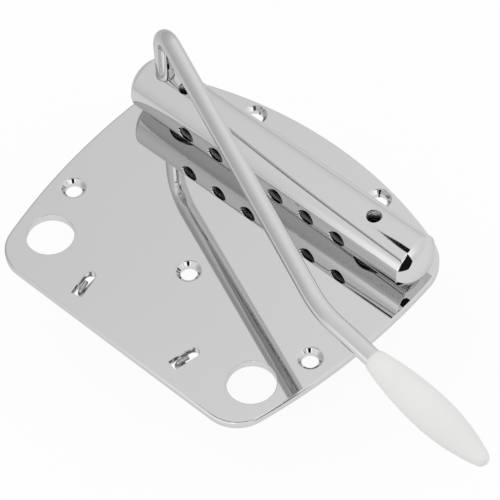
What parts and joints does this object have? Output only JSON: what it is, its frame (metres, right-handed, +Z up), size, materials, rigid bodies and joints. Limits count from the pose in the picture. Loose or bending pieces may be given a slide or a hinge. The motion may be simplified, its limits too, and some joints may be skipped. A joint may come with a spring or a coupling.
{
  "type": "guitar vibrato tailpiece",
  "caption": "Short-scale guitar vibrato tailpiece: a chromed plate with a round string bar that rocks on two sprung posts, and a push-in arm.",
  "frame": {"origin": "on the underside of the plate, midway between the two bridge post holes", "axes": "+X towards the bass side, +Y towards the tail end, +Z up out of the guitar body"},
  "size_m": [0.1625, 0.0885, 0.0655],
  "materials": {
    "plate_chrome": "polished chrome plate on steel, mirror bright",
    "bar_chrome": "polished chrome plate on steel, mirror bright",
    "arm_chrome": "polished chrome plate on steel, mirror bright",
    "post_steel": "turned steel, blackened",
    "screw_steel": "dark oiled steel",
    "spring_steel": "bright zinc-plated spring wire",
    "tip_plastic": "white moulded plastic, softly polished"
  },
  "bodies": {
    "plate": {"base_plate": "plate_chrome", "tension_spring_treble": "spring_steel", "tension_spring_bass": "spring_steel"},
    "posts": {"fulcrum_post_treble": "post_steel", "fulcrum_post_bass": "post_steel"},
    "bar": {"tailpiece_bar": "bar_chrome"},
    "height_screw_treble": {"height_screw_treble": "screw_steel"},
    "height_screw_bass": {"height_screw_bass": "screw_steel"},
    "post_lock_screw_treble": {"post_lock_screw_treble": "screw_steel"},
    "post_lock_screw_bass": {"post_lock_screw_bass": "screw_steel"},
    "arm_lock_screw": {"arm_lock_screw": "screw_steel"},
    "arm": {"tremolo_arm": "arm_chrome", "arm_tip": "tip_plastic"}
  },
  "joints": [
    {"name": "rock", "type": "hinge", "parent": "plate", "child": "posts", "pos_m": [0, 0.04786, 0.0012], "axis": [1, 0, 0], "range_deg": [-4, 10], "stiffness_Nm_per_rad": 3.5, "deforming": ["tension_spring_treble", "tension_spring_bass"]},
    {"name": "bar_height", "type": "slide", "parent": "posts", "child": "bar", "axis": [0, 0, 1], "range_m": [0, 0.0025]},
    {"name": "height_screw_treble_turn", "type": "hinge", "parent": "posts", "child": "height_screw_treble", "pos_m": [-0.034, 0.0525, 0.01375], "axis": [0, 0, -1], "range_deg": [0, 1130]},
    {"name": "height_screw_bass_turn", "type": "hinge", "parent": "posts", "child": "height_screw_bass", "pos_m": [0.034, 0.0525, 0.01375], "axis": [0, 0, -1], "range_deg": [0, 1130]},
    {"name": "post_lock_screw_treble_turn", "type": "hinge", "parent": "bar", "child": "post_lock_screw_treble", "pos_m": [-0.034, 0.0585, 0.00905], "axis": [0, 1, 0], "range_deg": [0, 360]},
    {"name": "post_lock_screw_bass_turn", "type": "hinge", "parent": "bar", "child": "post_lock_screw_bass", "pos_m": [0.034, 0.0585, 0.00905], "axis": [0, 1, 0], "range_deg": [0, 360]},
    {"name": "arm_lock_screw_turn", "type": "hinge", "parent": "bar", "child": "arm_lock_screw", "pos_m": [-0.042, 0.0585, 0.00905], "axis": [0, 1, 0], "range_deg": [0, 360]},
    {"name": "arm_swing", "type": "hinge", "parent": "bar", "child": "arm", "pos_m": [-0.042, 0.0525, 0.0189], "axis": [0, 0, 1], "range_deg": [-150, 90]}
  ],
  "couplings": [
    {"joint": "height_screw_treble_turn", "follows": "bar_height", "rad_per_m": 7854},
    {"joint": "height_screw_bass_turn", "follows": "bar_height", "rad_per_m": 7854}
  ]
}
